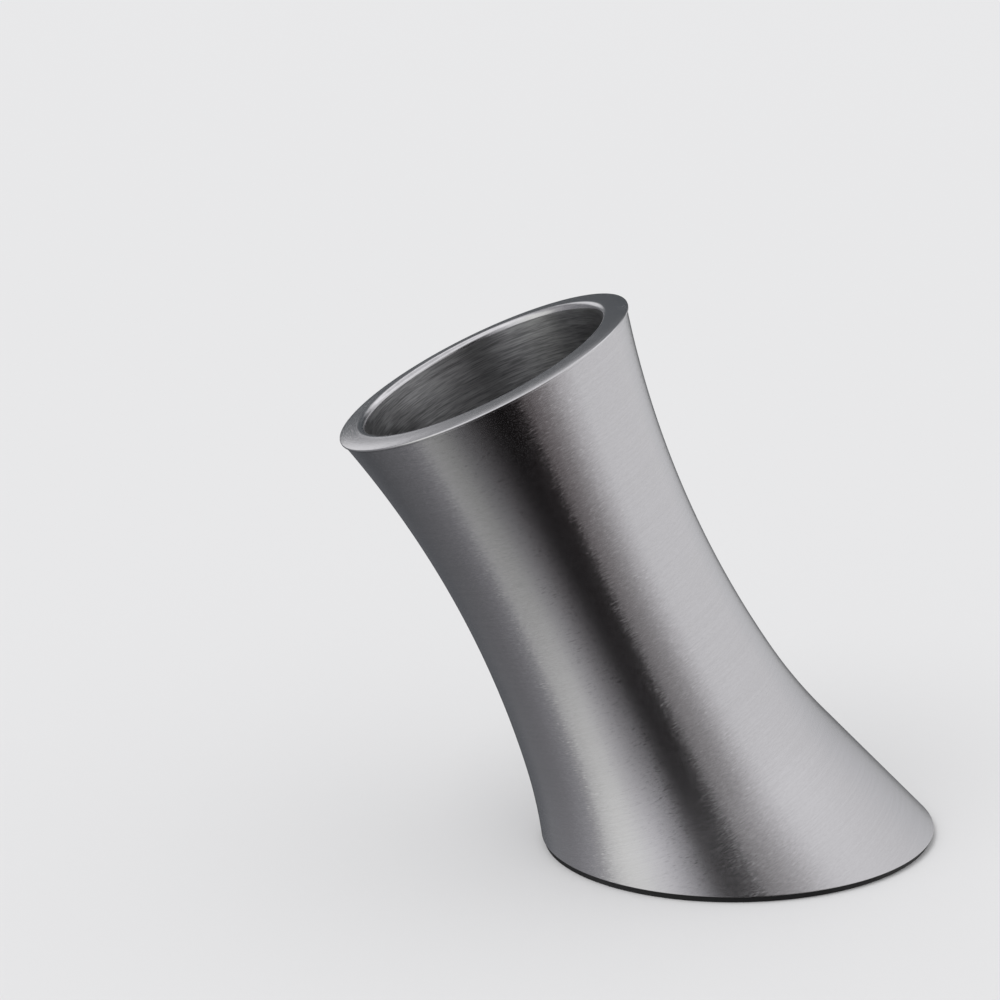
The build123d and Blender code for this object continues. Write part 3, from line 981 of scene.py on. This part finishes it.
# %% Strips of light
# direction in degrees; brightness level with the eye, below it and far below it; then the casts in
# hundredths: red level with the eye, red below it, and blue
STRIPS = [
    (-180, 0.10, 0.12, 0.06, -7, -4, 7), (-166, 0.11, 0.16, 0.07, -7, -4, 7),
    (-152, 0.15, 0.25, 0.13, -4, -2, 4), (-118, 0.26, 0.26, 0.17, 0, 0, 4),
    (-98, 0.38, 0.34, 0.23, 0, 0, 4), (-86, 0.50, 0.43, 0.36, 0, 0, 0),
    (-83, 0.79, 0.71, 0.39, -1, -1, -3), (-66, 1.02, 0.86, 0.28, -1, -1, -4),
    (-55, 1.00, 0.80, 0.22, -1, -1, -3), (-47, 0.94, 0.60, 0.15, -1, 0, -1),
    (-38, 0.84, 0.40, 0.10, 0, 1, 1), (-27, 0.58, 0.18, 0.05, 0, 4, 2),
    (-17, 0.34, 0.06, 0.02, 1, 7, 3), (-8, 0.09, 0.02, 0.01, 2, 9, 2),
    (0, 0.025, 0.014, 0.00, 5, 12, 2), (14, 0.018, 0.014, 0.00, 6, 20, 1),
    (18, 0.04, 0.014, 0.01, 5, 18, 0), (22, 0.17, 0.10, 0.03, 3, 14, 0),
    (27, 0.24, 0.14, 0.05, 3, 12, 0), (36, 0.29, 0.20, 0.08, 3, 9, 0),
    (45, 0.36, 0.33, 0.24, 2, 5, 0), (56, 0.56, 0.57, 0.55, 1, 2, 0),
    (70, 0.77, 0.77, 0.77, 0, 0, 0), (90, 0.80, 0.80, 0.80, 0, 0, 0),
    (125, 0.79, 0.79, 0.79, 0, 0, 0), (140, 0.70, 0.67, 0.66, -1, 0, 1),
    (150, 0.56, 0.44, 0.40, -1, 0, 1), (158, 0.24, 0.12, 0.10, -2, -1, 2),
    (167, 0.05, 0.03, 0.03, -4, -2, 4), (180, 0.10, 0.12, 0.06, -7, -4, 7),
]


def strip_ramp(tree, direction, column):
    """A colour ramp of the strips, from one column of the list, looked up by direction."""
    node = add_node(tree, "ValToRGB", {"Fac": weighted(tree, 0.5, (direction, 1 / 360))})
    stops = node.color_ramp.elements
    while len(stops) < len(STRIPS):
        stops.new(0.5)
    for stop, strip in zip(stops, STRIPS):
        stop.position = strip[0] / 360 + 0.5
        red, blue = strip[4 if column == 1 else 5] / 100, strip[6] / 100
        stop.color = rgb(strip[column] * (1 + red), strip[column], strip[column] * (1 + blue))
    return node.outputs["Color"]


print("strips of light:", len(STRIPS))

# %% [markdown]
# ## The studio
# The world shader puts the strips round the model, but only for rays that leave the steel: matte
# surfaces and the camera see plain soft white. A softbox hangs overhead, dimmer at the zenith,
# and a round panel stands at the back left. The strips lean a little, so the direction is skewed
# by the height of the ray. Four pairs of heights, in degrees, say where one part of the room
# passes into the next.

# %% Studio
SKEW = 0.55
FAR_BELOW_TO_BELOW = (-46.0, -20.0)
BELOW_TO_LEVEL = (-20.0, 0.0)
LEVEL_TO_SOFTBOX = (26.0, 50.0)
SOFTBOX_TO_ZENITH = (50.0, 72.0)
PANEL_COMPASS, PANEL_HEIGHT = radians(-149), radians(12)
PANEL_OUTER, PANEL_INNER = radians(18), radians(8)
PLAIN_WHITE = rgb(0.88, 0.88, 0.885)
SOFTBOX_LIGHT, ZENITH_LIGHT = rgb(1.15, 1.15, 1.16), rgb(0.72, 0.72, 0.73)
PANEL_LIGHT = rgb(0.95, 0.95, 0.96)


def build_world():
    """White for the camera and for matte surfaces, strips for reflections."""
    world = bpy.data.worlds.new("studio")
    world.use_nodes = True
    world.cycles.sampling_method = "NONE"
    tree = world.node_tree
    tree.nodes.clear()
    toward = add_node(tree, "TexCoord").outputs["Generated"]
    ray = add_node(tree, "SeparateXYZ", {0: toward}).outputs
    compass = calc(tree, "ARCTAN2", ray[0], calc(tree, "MULTIPLY", ray[1], -1.0))
    height = calc(tree, "MULTIPLY", calc(tree, "ARCSINE", ray[2]), degrees(1))
    skewed = weighted(tree, 0.0, (compass, degrees(1)), (height, SKEW))
    direction = calc(tree, "WRAP", skewed, 180.0, -180.0)
    level, below, far_below = (strip_ramp(tree, direction, column) for column in (1, 2, 3))
    strips = blend_colours(tree, between(tree, height, *FAR_BELOW_TO_BELOW), far_below, below)
    strips = blend_colours(tree, between(tree, height, *BELOW_TO_LEVEL), strips, level)
    zenith = between(tree, height, *SOFTBOX_TO_ZENITH)
    softbox = blend_colours(tree, zenith, SOFTBOX_LIGHT, ZENITH_LIGHT)
    room = blend_colours(tree, between(tree, height, *LEVEL_TO_SOFTBOX), strips, softbox)
    panel_at = (sin(PANEL_COMPASS) * cos(PANEL_HEIGHT), -cos(PANEL_COMPASS) * cos(PANEL_HEIGHT),
                sin(PANEL_HEIGHT))
    facing = vector_calc(tree, "DOT_PRODUCT", toward, panel_at)
    panel = between(tree, facing, cos(PANEL_OUTER), cos(PANEL_INNER))
    room = blend_colours(tree, panel, room, PANEL_LIGHT)
    reflected = add_node(tree, "LightPath").outputs["Is Glossy Ray"]
    colour = blend_colours(tree, reflected, PLAIN_WHITE, room)
    background = add_node(tree, "Background", {"Color": colour})
    output = add_node(tree, "OutputWorld")
    tree.links.new(background.outputs[0], output.inputs["Surface"])
    return world


bpy.context.scene.world = build_world()
bpy.context.scene.view_settings.view_transform = "Standard"
print("studio:", len(bpy.context.scene.world.node_tree.nodes), "nodes")

# %% [markdown]
# ## Floor and softbox
# The floor is a wide, pale, matte sheet. The steel isn't allowed to see it: it would wash out the
# strips low on the body. One wide, soft light gives the shadow its direction, and it too is hidden
# from reflections.

# %% Floor and softbox
FLOOR_HALF = 9.0
SUN_ANGLE, SUN_STRENGTH = radians(40), 1.0
SUN_POINTS = Vector((1.1, 0.7, -1.9))


def make_floor():
    """A plain pale floor."""
    corners = [(x, y, 0.0) for x, y in ((-1, -1), (1, -1), (1, 1), (-1, 1))]
    mesh = bpy.data.meshes.new("floor")
    mesh.from_pydata([Vector(c) * FLOOR_HALF for c in corners], [], [(0, 1, 2, 3)])
    floor = bpy.data.objects.new("floor", mesh)
    bpy.context.scene.collection.objects.link(floor)
    material, tree, shader = new_material("pale_floor", Roughness=0.6, Specular_IOR_Level=0.0)
    clouds = add_node(tree, "TexNoise", {"Scale": 3.0, "Detail": 2.0}).outputs[0]
    colour = blend_colours(tree, clouds, rgb(0.70, 0.70, 0.705), rgb(0.73, 0.73, 0.735))
    tree.links.new(colour, shader["Base Color"])
    dress(floor, material)
    floor.visible_glossy = False


def make_softbox():
    """A wide soft light from above, to the left and in front, as even as daylight."""
    lamp = bpy.data.lights.new("softbox", "SUN")
    lamp.angle, lamp.energy = SUN_ANGLE, SUN_STRENGTH
    softbox = bpy.data.objects.new("softbox", lamp)
    softbox.rotation_euler = SUN_POINTS.to_track_quat("-Z", "Y").to_euler()
    softbox.visible_glossy = False
    bpy.context.scene.collection.objects.link(softbox)


make_floor()
make_softbox()
